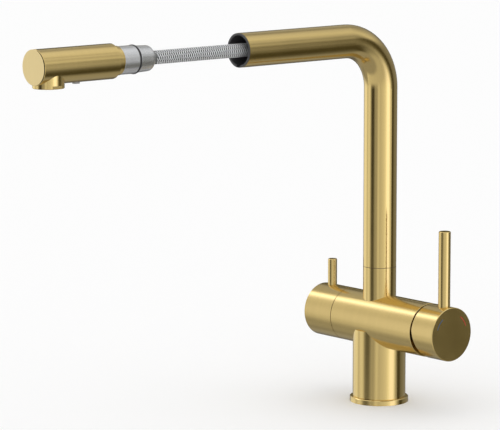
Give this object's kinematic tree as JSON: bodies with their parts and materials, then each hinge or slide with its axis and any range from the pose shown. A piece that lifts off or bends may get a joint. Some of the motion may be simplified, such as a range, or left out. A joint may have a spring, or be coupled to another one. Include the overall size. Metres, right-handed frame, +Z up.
{
  "type": "kitchen mixer tap",
  "caption": "Kitchen mixer tap with L-shaped swivel spout, pull-out head on a braided hose, side mixer lever and opposite filtered water lever.",
  "frame": {"origin": "centre of the base underside, on the worktop, at the mouth of the shank socket", "axes": "+Z up along the column, -Y along the spout to the head, +X along the barrel to the mixer handle"},
  "size_m": [0.1587, 0.3839, 0.3222],
  "materials": {
    "brushed_brass": "fine lengthwise brushing, satin, warm",
    "raw_brass": "turned, plain",
    "handle_face": "fine turned face, satin",
    "chrome": "polished",
    "steel": "plain turned",
    "braid": "woven wire braid over rubber",
    "black_rubber": "matt",
    "dark_plastic": "matt",
    "white_plastic": "matt",
    "grey_plastic": "matt",
    "ceramic": "lapped",
    "cold_blue": "enamel inlay",
    "hot_red": "enamel inlay"
  },
  "bodies": {
    "body": {"base_ring": "brushed_brass", "base_seal": "black_rubber", "valve_body": "brushed_brass", "inlet_block": "raw_brass", "hose_tail_fitting": "raw_brass", "neck_insert": "raw_brass", "slip_ring": "dark_plastic", "swivel_o_ring": "black_rubber", "swivel_circlip": "steel", "cartridge_base": "white_plastic", "cartridge_seals": "black_rubber", "cartridge_housing": "white_plastic", "fixed_disc": "ceramic", "retaining_nut": "raw_brass", "dome_cap": "brushed_brass", "headwork_body": "raw_brass", "headwork_seal": "black_rubber", "headwork_fixed_disc": "ceramic", "glide_ring": "white_plastic"},
    "mixer_rotor": {"spindle_guide": "grey_plastic", "stem_pin": "steel"},
    "mixer_lever": {"mixer_stem": "steel", "mixer_hub": "brushed_brass", "mixer_pin": "brushed_brass", "mixer_set_screw": "steel", "cold_mark": "cold_blue", "hot_mark": "hot_red"},
    "mixing_disc": {"disc_carrier": "white_plastic", "moving_disc": "ceramic"},
    "filter_lever": {"filter_spindle": "steel", "filter_disc": "ceramic", "filter_hub": "brushed_brass", "filter_pin": "brushed_brass", "filter_set_screw": "steel"},
    "spout": {"spout_tube": "brushed_brass", "mouth_sleeve": "dark_plastic", "swivel_bushes": "white_plastic", "swivel_stop_screw": "steel", "hose_run": "braid", "line_run": "white_plastic", "hose_pull": "braid", "line_pull": "white_plastic"},
    "head": {"head_shell": "brushed_brass", "head_end_cap": "handle_face", "head_waterway": "white_plastic", "outlet_collar": "brushed_brass", "aerator": "grey_plastic", "aerator_washer": "black_rubber", "filter_nozzle": "grey_plastic", "tail_spigot": "chrome", "spigot_o_ring": "black_rubber", "check_valve": "grey_plastic", "hose_washer": "black_rubber", "hose_nut": "chrome", "hose_nipple": "steel", "hose_ferrule": "chrome"}
  },
  "joints": [
    {"name": "mixer_temperature", "type": "hinge", "parent": "body", "child": "mixer_rotor", "pos_m": [0, 0, 0.0695], "axis": [1, 0, 0], "range_deg": [-50, 50]},
    {"name": "mixer_flow", "type": "hinge", "parent": "mixer_rotor", "child": "mixer_lever", "pos_m": [0.046, 0, 0.0695], "axis": [0, 1, 0], "range_deg": [0, 15]},
    {"name": "disc_slide", "type": "slide", "parent": "mixer_rotor", "child": "mixing_disc", "axis": [0, 0, 1], "range_m": [0, 0.0028]},
    {"name": "filter_tap", "type": "hinge", "parent": "body", "child": "filter_lever", "pos_m": [0, 0, 0.0695], "axis": [1, 0, 0], "range_deg": [0, 90]},
    {"name": "spout_swivel", "type": "hinge", "parent": "body", "child": "spout", "pos_m": [0, 0, 0], "axis": [0, 0, 1], "range_deg": [-60, 60]},
    {"name": "head_pull", "type": "slide", "parent": "spout", "child": "head", "axis": [0, 1, 0], "range_m": [0, 0.1288], "deforming": ["hose_pull", "line_pull"]}
  ],
  "couplings": [
    {"joint": "disc_slide", "follows": "mixer_flow", "m_per_rad": 0.0103}
  ]
}
